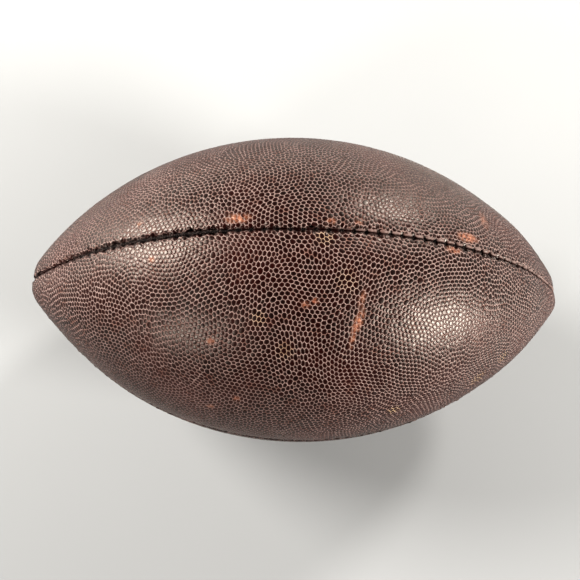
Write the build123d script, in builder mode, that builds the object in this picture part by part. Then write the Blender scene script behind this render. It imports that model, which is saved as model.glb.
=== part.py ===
"""Gridiron football, inflated and laced: four leather panels, turned in and stitched together along
four seams, each backed by a fabric lining, around a rubber bladder with its inflation valve.

Millimetres. The origin is the centre of the ball, +X runs from tip to tip and +Z is up. The seams lie
in the planes Y=0 and Z=0, and the laced one faces +Y. An inset is a depth below the leather's outer
surface, so a negative inset stands proud of it."""

import math
import os

from build123d import *

# Ball shape: one long arc between two tip arcs, spun about X
half_length = 144.0
ball_radius = 82.5
tip_radius = 24.5

# Leather panels and the seam allowance turned in along their edges
leather = 1.8
allowance = 1.5
allowance_depth = 5.0
shoulder_radius = 2.2
seam_gap = 0.1

# Fabric lining bonded to each panel
lining = 1.0
bond = 0.05

# Lock-stitched seam thread: two rails behind the allowances, bars through them, a cord in the groove
stitch_pitch = 5.7
stitch_inset = 3.5
stitch_radius = 0.45
needle_hole_radius = 0.55
rail_radius = 0.5
groove_cord_radius = 0.55
groove_cord_inset = 0.5
seam_reach = 129.0

# Lacing: eight crosses over a strand that lies along the seam
lace_crosses = 8
lace_pitch = 13.0
lace_width = 5.5
lace_thickness = 1.6
lace_row = 11.0
lace_slot_clearance = 0.4
lace_opening = 60.0
lace_run_inset = 4.15
facing_thickness = 1.2
facing_reach = 57.0
facing_edge = (1.8, 17.0)
tongue = (66.0, 20.0, 1.0)

# Bladder, with lobes between the seam allowances and a recess behind the lacing
bladder_wall = 0.9
bladder_inset = 5.3
lobe_inset = 3.75
lobe_side = 2.9
recess_inset = 6.8
recess = (70.0, 24.0)

# Inflation valve, in the upper back panel
valve_angle = 30.0
needle_radius = 1.1
valve_stem_radius = 3.5
valve_collar_radius = 10.0
valve_collar = 1.2
valve_top_inset = 0.5
valve_nose_radius = 2.8
valve_nose_inset = 12.0
valve_lead_in = 1.0
valve_hole_radius = 3.7
patch_radius = 15.0
patch_thickness = 0.75

block = 200.0
arc_radius = ((half_length - tip_radius) ** 2 + ball_radius**2 - tip_radius**2) / (
    2 * (ball_radius - tip_radius)
)
arc_drop = arc_radius - ball_radius
lining_inner = leather + bond + lining
os.makedirs("parts", exist_ok=True)


def ball_body(inset):
    """The ball's outer shape, solid, moved inward by inset."""
    tip_centre = half_length - tip_radius
    lean = math.atan2(tip_centre, arc_drop)
    tip = tip_radius - inset
    join = (tip_centre + tip * math.sin(lean), tip * math.cos(lean))
    halfway = (math.pi / 2 + lean) / 2
    tip_middle = (tip_centre + tip * math.sin(halfway), tip * math.cos(halfway))
    with BuildPart() as body:
        with BuildSketch():
            with BuildLine():
                Line((-half_length + inset, 0), (half_length - inset, 0))
                ThreePointArc((half_length - inset, 0), tip_middle, join)
                ThreePointArc(join, (0, ball_radius - inset), (-join[0], join[1]))
                ThreePointArc(
                    (-join[0], join[1]), (-tip_middle[0], tip_middle[1]), (-half_length + inset, 0)
                )
            make_face()
        revolve(axis=Axis.X)
    return body.part


def ball_shell(outer_inset, inner_inset):
    """The layer of the ball between two insets."""
    return ball_body(outer_inset) - ball_body(inner_inset)


def quadrant(y_side, z_side, gap):
    """The quarter of space between two seam planes, gap away from both."""
    middle = gap + block
    return Pos(0, y_side * middle, z_side * middle) * Box(2 * block, 2 * block, 2 * block)


def slab(x_range, z_range):
    """Everything on the +Y side within a range of X and a range of Z."""
    (x_low, x_high), (z_low, z_high) = x_range, z_range
    return Pos((x_low + x_high) / 2, block / 2, (z_low + z_high) / 2) * Box(
        x_high - x_low, block, z_high - z_low
    )


def valve_frame(inset):
    """The frame on the valve's axis at an inset, its Z pointing out of the ball."""
    outward = Vector(0, math.cos(math.radians(valve_angle)), math.sin(math.radians(valve_angle)))
    return Location(Plane(origin=outward * (ball_radius - inset), x_dir=(1, 0, 0), z_dir=outward))


def valve_rod(radius, outer_inset, inner_inset):
    """A rod along the valve's axis between two insets."""
    return valve_frame((outer_inset + inner_inset) / 2) * Cylinder(radius, inner_inset - outer_inset)


def on_seam(angle, inset):
    """A point in the plane of the top seam, at an angle along the long arc."""
    reach = arc_radius - inset
    return Vector(reach * math.sin(angle), 0, reach * math.cos(angle) - arc_drop)


def along_seam(x):
    """The angle along the long arc at which its outer surface stands at x."""
    return math.asin(x / arc_radius)


def stitch_angles(first_x, last_x):
    """The angles of the stitches between two stations, evenly spaced at about the pitch."""
    first, last = along_seam(first_x), along_seam(last_x)
    count = round((last - first) * arc_radius / stitch_pitch)
    return [first + (last - first) * i / count for i in range(count + 1)]


def seam_cord(radius, inset, side, first, last):
    """A cord that follows the top seam between two angles, side mm to the side of its plane."""
    spine = Axis((0, 0, -arc_drop), (0, 1, 0))
    with BuildPart() as cord:
        with BuildSketch(Plane.YZ):
            with Locations((side, ball_radius - inset)):
                Circle(radius)
        revolve(axis=spine, revolution_arc=math.degrees(last - first))
    return cord.part.rotate(spine, math.degrees(first))


def needle_bars(angles, radius, half_width):
    """Bars through both allowances of the top seam, one at each stitch."""
    return [
        Pos(on_seam(angle, stitch_inset)) * Rot(90, 0, 0) * Cylinder(radius, 2 * half_width)
        for angle in angles
    ]


def risers(angles, radius):
    """At both ends of a row of stitches, the thread that climbs from the bars into the groove."""
    rods = []
    for angle in (angles[0], angles[-1]):
        middle = on_seam(angle, (stitch_inset + groove_cord_inset) / 2)
        rods.append(
            Pos(middle)
            * Rot(0, math.degrees(angle), 0)
            * Cylinder(radius, stitch_inset - groove_cord_inset)
        )
    return rods


def seam_thread(first_x, last_x):
    """The thread of one row of stitches in the top seam."""
    angles = stitch_angles(first_x, last_x)
    rail_side = seam_gap / 2 + allowance + rail_radius
    thread = seam_cord(groove_cord_radius, groove_cord_inset, 0, angles[0], angles[-1])
    rails = [
        seam_cord(rail_radius, stitch_inset, side, angles[0], angles[-1])
        for side in (-rail_side, rail_side)
    ]
    bars = needle_bars(angles, stitch_radius, rail_side)
    return thread.fuse(*rails, *bars, *risers(angles, stitch_radius))


def thread_room(first_x, last_x):
    """What a row of stitches takes out of the allowances on both sides of the top seam."""
    angles = stitch_angles(first_x, last_x)
    through = needle_bars(angles, needle_hole_radius, seam_gap / 2 + allowance + 0.3)
    return through + risers(angles, needle_hole_radius)


whole_seam = [(-seam_reach, seam_reach)]
laced_seam = [(-seam_reach, -lace_opening), (lace_opening, seam_reach)]
seam_turn = {"top": 0, "front": 90, "bottom": 180, "back": -90}


def lace_stations():
    """The X of each cross."""
    return [(i - (lace_crosses - 1) / 2) * lace_pitch for i in range(lace_crosses)]


def lace_slots(z_side):
    """Slots for the legs of the lace on one side of the laced seam."""
    half_width = lace_width / 2 + lace_slot_clearance
    half_thickness = lace_thickness / 2 + lace_slot_clearance
    centre = z_side * lace_row
    return [
        slab((x - half_width, x + half_width), (centre - half_thickness, centre + half_thickness))
        for x in lace_stations()
    ]


def shoulders(body):
    """The edges where a panel's outer surface meets its seam planes."""
    edges = []
    for face in body.faces().filter_by(GeomType.PLANE):
        edges += [edge for edge in face.edges() if edge.geom_type != GeomType.LINE]
    return edges


def leather_panel(y_side, z_side):
    """One panel: the skin of a quarter of the ball, with an allowance turned in along both edges."""
    body = ball_body(0) & quadrant(y_side, z_side, seam_gap / 2)
    body = body.fillet(shoulder_radius, shoulders(body))
    hollow = ball_body(leather) & quadrant(y_side, z_side, seam_gap / 2 + allowance)
    cuts = [hollow, ball_body(allowance_depth)]
    beside = ["top" if z_side > 0 else "bottom", "back" if y_side > 0 else "front"]
    for seam in beside:
        for first_x, last_x in laced_seam if seam == "back" else whole_seam:
            cuts += [Rot(seam_turn[seam], 0, 0) * room for room in thread_room(first_x, last_x)]
    if y_side > 0:
        cuts += lace_slots(z_side)
    if y_side > 0 and z_side > 0:
        cuts.append(valve_rod(valve_hole_radius, -5, lining_inner))
    return body.cut(*cuts)


def panel_lining(y_side, z_side):
    """The lining bonded behind one panel, between its two turned-in edges."""
    side = seam_gap / 2 + allowance + bond
    body = ball_shell(leather + bond, lining_inner) & quadrant(y_side, z_side, side)
    cuts = []
    if y_side > 0:
        cuts += lace_slots(z_side)
    if y_side > 0 and z_side > 0:
        cuts.append(valve_rod(valve_hole_radius, -5, 2 * lining_inner))
    return body.cut(*cuts) if cuts else body


def lace_facing(z_side):
    """The strip behind the lining that the legs of the lace pass through, on one side of the seam."""
    outer = lining_inner + bond
    near, far = facing_edge
    z_range = (near, far) if z_side > 0 else (-far, -near)
    body = ball_shell(outer, outer + facing_thickness) & slab((-facing_reach, facing_reach), z_range)
    return body.cut(*lace_slots(z_side))


def lace():
    """The lace: crosses over the seam strand, legs through the slots, runs behind the facings."""
    stations = lace_stations()
    half = lace_width / 2
    row = (lace_row - lace_thickness / 2, lace_row + lace_thickness / 2)
    strand_top = bond + lace_thickness
    cross_top = strand_top + lace_thickness - bond
    run_inset = lace_run_inset + lace_thickness - 2 * bond
    crosses = ball_shell(-cross_top, bond - strand_top) & Compound(
        [slab((x - half, x + half), (-row[1], row[1])) for x in stations]
    )
    legs = ball_shell(-cross_top, run_inset) & Compound(
        [
            slab((x - half, x + half), sorted((side * row[0], side * row[1])))
            for x in stations
            for side in (-1, 1)
        ]
    )
    runs = []
    for i in range(lace_crosses - 1):
        side = 1 if i % 2 else -1
        z_range = sorted((side * row[0], side * (row[1] + lace_thickness)))
        runs.append(slab((stations[i] - half, stations[i + 1] + half), z_range))
    runs = ball_shell(lace_run_inset, run_inset) & Compound(runs)
    reach = stations[-1] + half
    strand = ball_shell(-strand_top, -bond) & slab((-reach, reach), (-half, half))
    return strand.fuse(*crosses.solids(), *legs.solids(), *runs.solids())


def lace_guard():
    """The tongue between the lace and the bladder."""
    half_length_x, half_width, thickness = tongue
    outer = lace_run_inset + lace_thickness
    return ball_shell(outer, outer + thickness - bond) & slab(
        (-half_length_x, half_length_x), (-half_width, half_width)
    )


def bladder_body(wall):
    """The bladder's shape, solid, moved inward by wall."""
    core = ball_body(bladder_inset + wall)
    lobed = ball_body(lobe_inset + wall)
    lobes = [lobed & quadrant(y, z, lobe_side + wall) for y in (-1, 1) for z in (-1, 1)]
    half_length_x, half_width = recess
    behind_lace = slab(
        (-half_length_x - wall, half_length_x + wall), (-half_width - wall, half_width + wall)
    )
    return core.fuse(*lobes).cut(behind_lace - ball_body(recess_inset + wall))


def valve_body():
    """The valve: a stem in the panel's hole, a collar bonded inside the bladder and a nose."""
    collar_inset = lobe_inset + bladder_wall
    stem = valve_rod(valve_stem_radius, valve_top_inset, collar_inset + valve_collar / 2)
    collar = ball_shell(collar_inset, collar_inset + valve_collar) & valve_rod(
        valve_collar_radius, 0, 2 * collar_inset
    )
    nose = valve_rod(valve_nose_radius, collar_inset, valve_nose_inset)
    bore = valve_rod(needle_radius, -1, valve_nose_inset + 1)
    lead_in = valve_frame(valve_top_inset + valve_lead_in / 2) * Cone(
        needle_radius, needle_radius + valve_lead_in, valve_lead_in
    )
    return stem.fuse(collar, nose).cut(bore, lead_in)


def valve_patch():
    """The reinforcing disc bonded behind the lining around the valve."""
    outer = lining_inner + bond
    disc = ball_shell(outer, outer + patch_thickness) & valve_rod(patch_radius, 0, 2 * lobe_inset)
    return disc - valve_rod(valve_hole_radius, 0, 2 * lobe_inset)


pieces = {}
for name, y_side, z_side in (
    ("upper_front", -1, 1),
    ("lower_front", -1, -1),
    ("upper_back", 1, 1),
    ("lower_back", 1, -1),
):
    pieces["panel_" + name] = leather_panel(y_side, z_side)
    pieces["lining_" + name] = panel_lining(y_side, z_side)
for seam in ("top", "front", "bottom"):
    pieces["seam_thread_" + seam] = Rot(seam_turn[seam], 0, 0) * seam_thread(*whole_seam[0])
for end, (first_x, last_x) in zip(("left", "right"), laced_seam):
    pieces["seam_thread_back_" + end] = Rot(seam_turn["back"], 0, 0) * seam_thread(first_x, last_x)
pieces["lace"] = lace()
pieces["lace_facing_upper"] = lace_facing(1)
pieces["lace_facing_lower"] = lace_facing(-1)
pieces["lace_guard"] = lace_guard()
bladder_hole = valve_rod(valve_stem_radius, 0, lobe_inset + 2 * bladder_wall)
pieces["bladder"] = bladder_body(0).cut(bladder_body(bladder_wall), bladder_hole)
pieces["valve_patch"] = valve_patch()
pieces["valve_body"] = valve_body()

for name, piece in pieces.items():
    piece.label = name
    export_step(piece, f"parts/{name}.step")
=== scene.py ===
"""An American football lying on a pale sheet: pebbled leather panels, stitched seams, lacing and
valve. The model's own sizes are in millimetres, and become metres where a mesh is made."""

import math

import bpy
import numpy as np
from mathutils import Matrix, Vector
from mathutils.geometry import delaunay_2d_cdt


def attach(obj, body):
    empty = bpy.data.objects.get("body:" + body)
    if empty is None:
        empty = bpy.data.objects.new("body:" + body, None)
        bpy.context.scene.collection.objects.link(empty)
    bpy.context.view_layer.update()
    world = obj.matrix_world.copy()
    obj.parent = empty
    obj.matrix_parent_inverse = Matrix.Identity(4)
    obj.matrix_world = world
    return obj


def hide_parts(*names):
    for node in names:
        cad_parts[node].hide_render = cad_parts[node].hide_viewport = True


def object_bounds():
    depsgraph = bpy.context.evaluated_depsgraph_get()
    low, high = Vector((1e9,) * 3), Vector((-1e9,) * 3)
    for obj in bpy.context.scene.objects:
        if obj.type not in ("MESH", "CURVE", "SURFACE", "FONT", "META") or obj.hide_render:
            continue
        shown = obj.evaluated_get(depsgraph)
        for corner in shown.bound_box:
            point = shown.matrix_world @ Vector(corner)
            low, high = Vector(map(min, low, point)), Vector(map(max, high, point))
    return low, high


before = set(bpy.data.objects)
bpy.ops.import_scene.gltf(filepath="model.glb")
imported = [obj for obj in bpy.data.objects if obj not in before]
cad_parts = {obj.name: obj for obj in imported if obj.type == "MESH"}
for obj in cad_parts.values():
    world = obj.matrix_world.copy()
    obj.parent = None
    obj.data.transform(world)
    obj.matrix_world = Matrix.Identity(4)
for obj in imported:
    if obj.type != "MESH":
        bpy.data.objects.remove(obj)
cad_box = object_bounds()
scene = bpy.context.scene
MM = 0.001
QUARTER = math.pi / 2

# The ball's outer shape, as in the CAD: one long arc between two tip arcs, spun about X
HALF_LENGTH = 144.0
BALL_RADIUS = 82.5
TIP_RADIUS = 24.5
TIP_CENTRE = HALF_LENGTH - TIP_RADIUS
ARC_RADIUS = (TIP_CENTRE**2 + BALL_RADIUS**2 - TIP_RADIUS**2) / (2 * (BALL_RADIUS - TIP_RADIUS))
ARC_DROP = ARC_RADIUS - BALL_RADIUS
LEAN = math.atan2(TIP_CENTRE, ARC_DROP)
JOIN = ARC_RADIUS * LEAN
MERIDIAN = JOIN + TIP_RADIUS * (QUARTER - LEAN)

# How much fuller and longer the +X end is, and over which arc lengths
FULLER, FULLER_AT, FULLER_WIDTH = 1.0, 128.0, 20.0
LONGER, LONGER_FROM, LONGER_OVER = 1.3, 95.0, 65.0

# Panels go round from the front seam. Seam k is the first edge of panel k, at k quarter turns
PANELS = ("upper_front", "upper_back", "lower_back", "lower_front")
UPPER_BACK = 1
VALVE_PANEL = UPPER_BACK
LEATHER = 1.7
FRONT, TOP, BACK, BOTTOM = range(4)

# Seams: the edges' roll and least half gap, the stitches' spacing and phases, how far stitching and
# lacing reach from the ball's middle, and how much the seams sink at the tips
SHOULDER = 2.2
HALF_GAP = 0.05
STITCH = 5.7
STITCH_PHASE = (1.3, 0.4, 2.6, 4.0)
SEAM_REACH = 144.5
LACE_OPENING = 61.5
PINCH = 0.10

# Where each seam's groove gapes, as centre, width and extra half gap
GAPES = {
    FRONT: ((-12.0, 22.0, 0.55), (-28.0, 42.0, 0.55), (70.0, 30.0, 0.15)),
    TOP: (
        (-118.0, 26.0, 0.18),
        (-79.0, 26.0, 0.38),
        (-48.0, 19.0, 0.28),
        (-24.0, 13.0, 0.06),
        (70.0, 45.0, 0.12),
    ),
    BACK: ((-90.0, 20.0, 0.3), (85.0, 25.0, 0.3)),
    BOTTOM: ((20.0, 60.0, 0.3),),
}

# Lace and valve
LACE_PITCH = 13.0
LACE_CROSSES = 8
LACE_ROW = 11.0
LACE_LAST = LACE_PITCH * (LACE_CROSSES - 1) / 2
VALVE_THETA = math.radians(150.0)
VALVE_HOLE = 3.75

# Dips in the leather beside a seam, at a tip, at a lace slot and round the valve
SEAM_DIP, SEAM_DIP_WIDTH = 0.35, 5.0
TIP_DIP, TIP_DIP_WIDTH = 1.1, 3.2
SLOT_DIP, SLOT_LENGTH, SLOT_WIDTH = 0.9, 3.4, 1.7
VALVE_DIP, VALVE_DIP_RADIUS = 1.25, 5.4

# An edge is pulled down and in by each stitch, and puffs up and out between two, near the seam only
PULL_DOWN, PUFF_UP = 1.1, 0.22
PULL_IN, PUFF_OUT = 0.3, 0.15
PULL_FROM, PULL_WIDTH = 1.0, 1.5

# Grain: the pebbles' columns, rows and scatter, the rows' bends as wave length and amount, the
# groove round each pebble, and how often and how far their places are evened out
COLUMN = 1.84
PEBBLE = 2.37
JITTER = 0.25
ROW_BENDS = ((66.0, 5.2), (37.0, 2.0), (17.0, 0.5))
GROOVE = 0.25
GROOVE_DEPTH = 0.36
EVENINGS, EVENED = 3, 0.7
GRAIN_SEEDS = (100, 201, 102, 103)

# Where the grain ends: past a panel's edge, the same at the tips, and short of the poles
EDGE_REACH = 2.0
TIP_EDGE_REACH = 0.3
GRAIN_TIP = 2.2

# A pebble's parts: its brow's and top's share of the cell, how far the brow lies below the top,
# and the pebbles' uneven height, which is greater near a seam, and lean
BROW_LEAST, BROW_MOST, TOP_SHARE, BROW_DROP = 0.35, 0.92, 0.80, 0.04
UNEVEN, UNEVEN_AT_SEAM, SEAM_WIDTH, UNEVEN_LEAN = 0.02, 0.20, 2.6, 0.018

# What the leather's material reads as valley: 1 in a groove, 0 on a pebble's top. Painted shade
# lowers it in the grooves beside a gaping seam, and at the panel's rim corners as on the hidden
# side
BROW_VALLEY, SHADED_RIM_AND_HIDDEN_VALLEY, PAINTED_SEAM_SHADE, PAINTED_SEAM_SHADE_WIDTH = 0.25, 0.15, 0.68, 1.8

# The flesh side's grid, and how far it stays inside the rim, the poles and the valve's rim
FLESH_STEP, FLESH_MARGIN, FLESH_TIP, FLESH_VALVE = 4.0, 3.8, 8.0, 1.5

# The plied cord in a seam's groove, which rises and swells where the groove gapes
CORD_STEP, CORD_SIDES = 0.35, 14
CORD_DEPTH, CORD_LIFT = 2.3, 0.75
CORD_RADIUS, CORD_SWELL = 0.40, 0.60
PLIES, PLY_TURN, PLY_DEPTH = 3, 2.4, 0.16

# The pair of strands over each notch, from edge to edge, and the bars and rails behind the edges
STRAND_ACROSS = np.array([-1.7, -1.45, -1.1, -0.6, 0.0, 0.6, 1.1, 1.45, 1.7])
STRAND_DEPTH = np.array([3.4, 2.9, 2.3, 1.95, 1.85, 1.95, 2.3, 2.9, 3.4])
STRAND_RADIUS, STRAND_APART = 0.32, 0.36
RAIL_DEPTH, RAIL_ASIDE, RAIL_RADIUS, BAR_RADIUS = 3.5, 2.05, 0.5, 0.4

# The lace's course from inside a slot to the middle of a cross: mm from the seam's plane, mm proud
CROSS_SIDE = (
    (11.2, -5.0),
    (11.3, -2.4),
    (11.2, -0.5),
    (10.4, 0.75),
    (8.0, 1.15),
    (4.4, 1.75),
    (2.2, 2.3),
)
CROSS_TOP = (0.0, 2.42)
LACE_THICKNESS, CROSS_WIDTH, ALONG_WIDTH, RUN_WIDTH, RUN_THICKNESS = 1.45, 5.3, 5.2, 3.2, 1.3

# The edge strips: their points across, in mm from the seam, their step along, how far they stay
# from the poles, and the heights of their underside and of the lowest point of their top
EDGE_ROWS = np.array([-2.0, -1.0, -0.3, 0.1, 0.5, 0.9, 1.3, 1.6, 1.85, 2.1])
EDGE_STEP, EDGE_TIP, EDGE_UNDER, EDGE_LOWEST = 0.38, 2.6, -1.05, -0.95
EDGE_NARROW, EDGE_BARE, EDGE_WIDE, NICK_DEPTH = 0.45, 1.2, 1.8, 1.15

# The linings: their points along and across, how far they stay from the poles and seams, and their
# faces, in mm inside the leather
LINING_ROWS, LINING_COLUMNS = 96, 34
LINING_TIP, LINING_MARGIN = 10, 3.4
LINING_FACES = (0.1, 1.0)

# The camera: the picture's focal length and width in the same unit, and the sensor's width in mm
FOCAL_LENGTH, FRAME_WIDTH, SENSOR = 621.2, 580, 36.0


# ---------------- materials


class Nodes:
    """A small helper for writing a material's node tree."""

    def __init__(self, name):
        self.material = bpy.data.materials.new(name)
        self.material.use_nodes = True
        self.tree = self.material.node_tree
        self.shader = self.tree.nodes["Principled BSDF"]

    def add(self, kind, **values):
        node = self.tree.nodes.new("ShaderNode" + kind)
        for key, value in values.items():
            if hasattr(node, key):
                setattr(node, key, value)
            else:
                self.give(node.inputs[key.replace("_", " ")], value)
        return node

    def give(self, socket, value):
        if isinstance(value, bpy.types.NodeSocket):
            self.tree.links.new(value, socket)
        else:
            socket.default_value = value

    def set(self, **values):
        for key, value in values.items():
            self.give(self.shader.inputs[key.replace("_", " ")], value)

    def place(self):
        return self.add("TexCoord").outputs["Object"]

    def attribute(self, name):
        return self.add("Attribute", attribute_name=name).outputs["Fac"]

    def noise(self, scale, detail=3.0, roughness=0.5):
        node = self.add("TexNoise", Scale=scale, Detail=detail, Roughness=roughness)
        self.give(node.inputs["Vector"], self.place())
        return node.outputs["Fac"]

    def bands(self, direction, scale, distortion):
        """Regular ridges across one direction."""
        node = self.add("TexWave", bands_direction=direction, Scale=scale, Distortion=distortion)
        node.wave_type = "BANDS"
        self.give(node.inputs["Vector"], self.place())
        return node.outputs["Fac"]

    def ramp(self, value, low, high, to_low=0.0, to_high=1.0):
        """A value's smooth step from one level to another."""
        node = self.add("MapRange", clamp=True)
        node.interpolation_type = "SMOOTHSTEP"
        keys = ("Value", "From Min", "From Max", "To Min", "To Max")
        for key, number in zip(keys, (value, low, high, to_low, to_high)):
            self.give(node.inputs[key], number)
        return node.outputs["Result"]

    def math(self, operation, a, b=0.0):
        node = self.add("Math", operation=operation)
        self.give(node.inputs[0], a)
        self.give(node.inputs[1], b)
        return node.outputs[0]

    def mix(self, factor, a, b):
        """A mix of two colours: the Mix node's inputs 0, 6 and 7 are its factor and its colours."""
        node = self.add("Mix", data_type="RGBA")
        for i, value in ((0, factor), (6, a), (7, b)):
            self.give(node.inputs[i], (*value, 1.0) if isinstance(value, tuple) else value)
        return node.outputs[2]

    def bump(self, height, distance, strength=1.0):
        node = self.add("Bump", Strength=strength, Distance=distance, Height=height)
        self.set(Normal=node.outputs["Normal"])


def leather_material():
    """Dark maroon pebbles with pale grooves and rust-coloured scuffs, as each mesh is painted."""
    n = Nodes("pebbled_leather")
    valley = n.attribute("valley")
    tone = n.attribute("tone")
    scuff = n.attribute("scuff")
    pale = n.attribute("pale")
    wide = n.noise(22.0, 3.0)
    fine = n.noise(900.0, 3.0, 0.6)
    blotch = n.noise(190.0, 2.0, 0.5)
    cell = n.mix(tone, (0.006, 0.0002, 0.0001), (0.016, 0.0010, 0.0006))
    cell = n.mix(n.ramp(wide, 0.4, 0.8), cell, (0.031, 0.0026, 0.0016))
    line = n.mix(n.ramp(fine, 0.3, 0.7), (0.218, 0.150, 0.137), (0.336, 0.248, 0.228))
    line = n.mix(n.ramp(blotch, 0.5, 0.75), line, (0.208, 0.118, 0.098))
    line = n.mix(pale, line, (0.62, 0.47, 0.27))
    colour = n.mix(n.ramp(valley, 0.26, 0.62), cell, line)
    rust = n.mix(n.ramp(fine, 0.35, 0.65), (0.20, 0.068, 0.040), (0.47, 0.235, 0.150))
    worn = n.math("MULTIPLY", scuff, n.ramp(n.noise(520.0, 3.0, 0.65), 0.30, 0.58))
    colour = n.mix(worn, colour, rust)
    n.set(Base_Color=colour, Roughness=n.ramp(valley, 0.1, 0.6, 0.33, 0.62))
    n.set(IOR=1.5, Specular_Tint=(1.0, 0.91, 0.83, 1.0))
    n.set(Sheen_Weight=0.14, Sheen_Roughness=0.24, Sheen_Tint=(1.0, 0.90, 0.81, 1.0))
    n.bump(n.math("ADD", fine, n.noise(2600.0, 2.0)), 0.00005, 0.45)
    return n.material


def thread_material():
    """Dark waxed thread with a few dusty fibres."""
    n = Nodes("waxed_thread")
    fibre = n.noise(1500.0, 3.0, 0.7)
    dusty = n.ramp(fibre, 0.52, 0.68)
    n.set(Base_Color=n.mix(dusty, (0.004, 0.002, 0.0018), (0.16, 0.115, 0.105)))
    n.set(Roughness=n.ramp(fibre, 0.3, 0.7, 0.6, 0.8), Specular_IOR_Level=0.2)
    n.bump(fibre, 0.0003)
    return n.material


def lace_material():
    """Off-white coated lace, woven under its coat and a little soiled."""
    n = Nodes("coated_lace")
    dirt = n.noise(120.0, 4.0, 0.6)
    base = n.mix(n.ramp(dirt, 0.42, 0.72), (0.47, 0.45, 0.40), (0.29, 0.25, 0.19))
    n.set(Base_Color=base, Roughness=n.ramp(dirt, 0.3, 0.8, 0.42, 0.62))
    weave = n.math("MULTIPLY", n.bands("DIAGONAL", 420.0, 1.5), 0.6)
    n.bump(n.math("ADD", weave, n.noise(1500.0)), 0.00008, 0.5)
    return n.material


def canvas_material(name, pale, dark, threads):
    """Plain-woven cloth: two crossing sets of ridges, and a little mottling."""
    n = Nodes(name)
    cloth = n.math("MAXIMUM", n.bands("X", threads, 0.4), n.bands("Z", threads, 0.4))
    colour = n.mix(n.ramp(cloth, 0.1, 0.9), dark, pale)
    n.set(Base_Color=n.mix(n.ramp(n.noise(60.0), 0.35, 0.75), colour, dark), Roughness=0.88)
    n.bump(cloth, 0.0002, 0.6)
    return n.material


def hide_material(name, pale, dark, rough):
    """Plain leather seen from its split side: matted fibres."""
    n = Nodes(name)
    fibre = n.noise(1400.0, 5.0, 0.7)
    tone = n.mix(n.ramp(n.noise(90.0, 4.0), 0.3, 0.7), pale, dark)
    n.set(Base_Color=n.mix(n.ramp(fibre, 0.35, 0.7), tone, dark), Roughness=rough)
    n.bump(fibre, 0.0002, 0.7)
    return n.material


def rubber_material(name, pale, dark, rough):
    """Moulded rubber with a faint bloom."""
    n = Nodes(name)
    speck = n.noise(700.0, 4.0, 0.65)
    n.set(Base_Color=n.mix(n.ramp(n.noise(45.0), 0.35, 0.75), dark, pale))
    n.set(Roughness=n.ramp(speck, 0.3, 0.7, rough, rough + 0.18))
    n.bump(speck, 0.00006, 0.5)
    return n.material


def floor_material():
    """A matt sheet with painted light: paler towards its back, standing in for brighter light
    there.
    """
    n = Nodes("pale_sheet")
    split = n.add("SeparateXYZ")
    n.give(split.inputs[0], n.place())
    # Painted light: the sheet's colour grows paler towards the back
    back = n.ramp(split.outputs["Y"], -0.25, 0.35)
    colour = n.mix(back, (0.282, 0.292, 0.30), (0.38, 0.393, 0.402))
    mottle = n.ramp(n.noise(5.0), 0.3, 0.7, 0.0, 0.08)
    n.set(Base_Color=n.mix(mottle, colour, (0.25, 0.26, 0.27)), Roughness=0.75)
    return n.material


# ---------------- the ball's surface


def swell(u, centre, width):
    """A smooth rise to 1 at the centre."""
    return np.exp(-(((u - centre) / width) ** 2))


def meridian(u):
    """Axial place, radius and lean of the surface at an arc length from the middle of the ball."""
    reach = np.abs(u)
    tip = reach > JOIN
    lean = np.where(tip, LEAN + (reach - JOIN) / TIP_RADIUS, reach / ARC_RADIUS)
    x = np.where(tip, TIP_CENTRE + TIP_RADIUS * np.sin(lean), ARC_RADIUS * np.sin(lean))
    r = np.where(tip, TIP_RADIUS * np.cos(lean), ARC_RADIUS * np.cos(lean) - ARC_DROP)
    r = r + FULLER * swell(u, FULLER_AT, FULLER_WIDTH) * np.clip(r / 20.0, 0, 1)
    x = x + LONGER * np.clip((u - LONGER_FROM) / LONGER_OVER, 0, 1) ** 2
    return np.sign(u) * x, np.maximum(r, 0.01), np.sign(u) * lean


def around(x, r, theta):
    """The point at axial place x, radius r and angle theta from the front seam to the top one."""
    return np.stack([x, -r * np.cos(theta), r * np.sin(theta)], axis=-1)


def surface_point(u, theta, height):
    """A point on the smooth ball, height mm proud of it."""
    x, r, lean = meridian(u)
    return around(x + height * np.sin(lean), r + height * np.cos(lean), theta)


def pinch(u):
    """How far the seams sink between the panels, which grows towards the tips."""
    x, r, _ = meridian(u)
    return PINCH * r * np.abs(x / HALF_LENGTH) ** 6


def groove_gap(u, seam):
    """Half the width of a seam's groove beyond its shoulders."""
    gap = 0.14 + 0.05 * np.sin(u / 9.0 + seam)
    for centre, width, extra in GAPES[seam]:
        gap = gap + extra * swell(u, centre, width)
    return gap * np.clip((MERIDIAN - np.abs(u)) / 12.0, 0.15, 1.0)


def stitched(u, seam):
    """Where a seam is stitched: the back one is laced, not stitched, in its middle."""
    on = np.abs(u) < SEAM_REACH
    return on & (np.abs(u) > LACE_OPENING) if seam == BACK else on


def stitch_wave(u, seam):
    """1 where a stitch pulls the edge in, and near 0 between two stitches."""
    off = np.mod(u - STITCH_PHASE[seam] + STITCH / 2, STITCH) - STITCH / 2
    return np.exp(-((off / 0.8) ** 2)) * stitched(u, seam)


def nearest_cross(u):
    """The middle of the lace cross nearest to an arc length."""
    half = LACE_CROSSES / 2
    return LACE_PITCH * (np.clip(np.round(u / LACE_PITCH - 0.5), -half, half - 1) + 0.5)


def from_valve(u, phi):
    """How far points of the valve's panel are from the valve's middle."""
    return np.hypot(u, BALL_RADIUS * (phi + VALVE_PANEL * QUARTER - VALVE_THETA))


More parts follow.
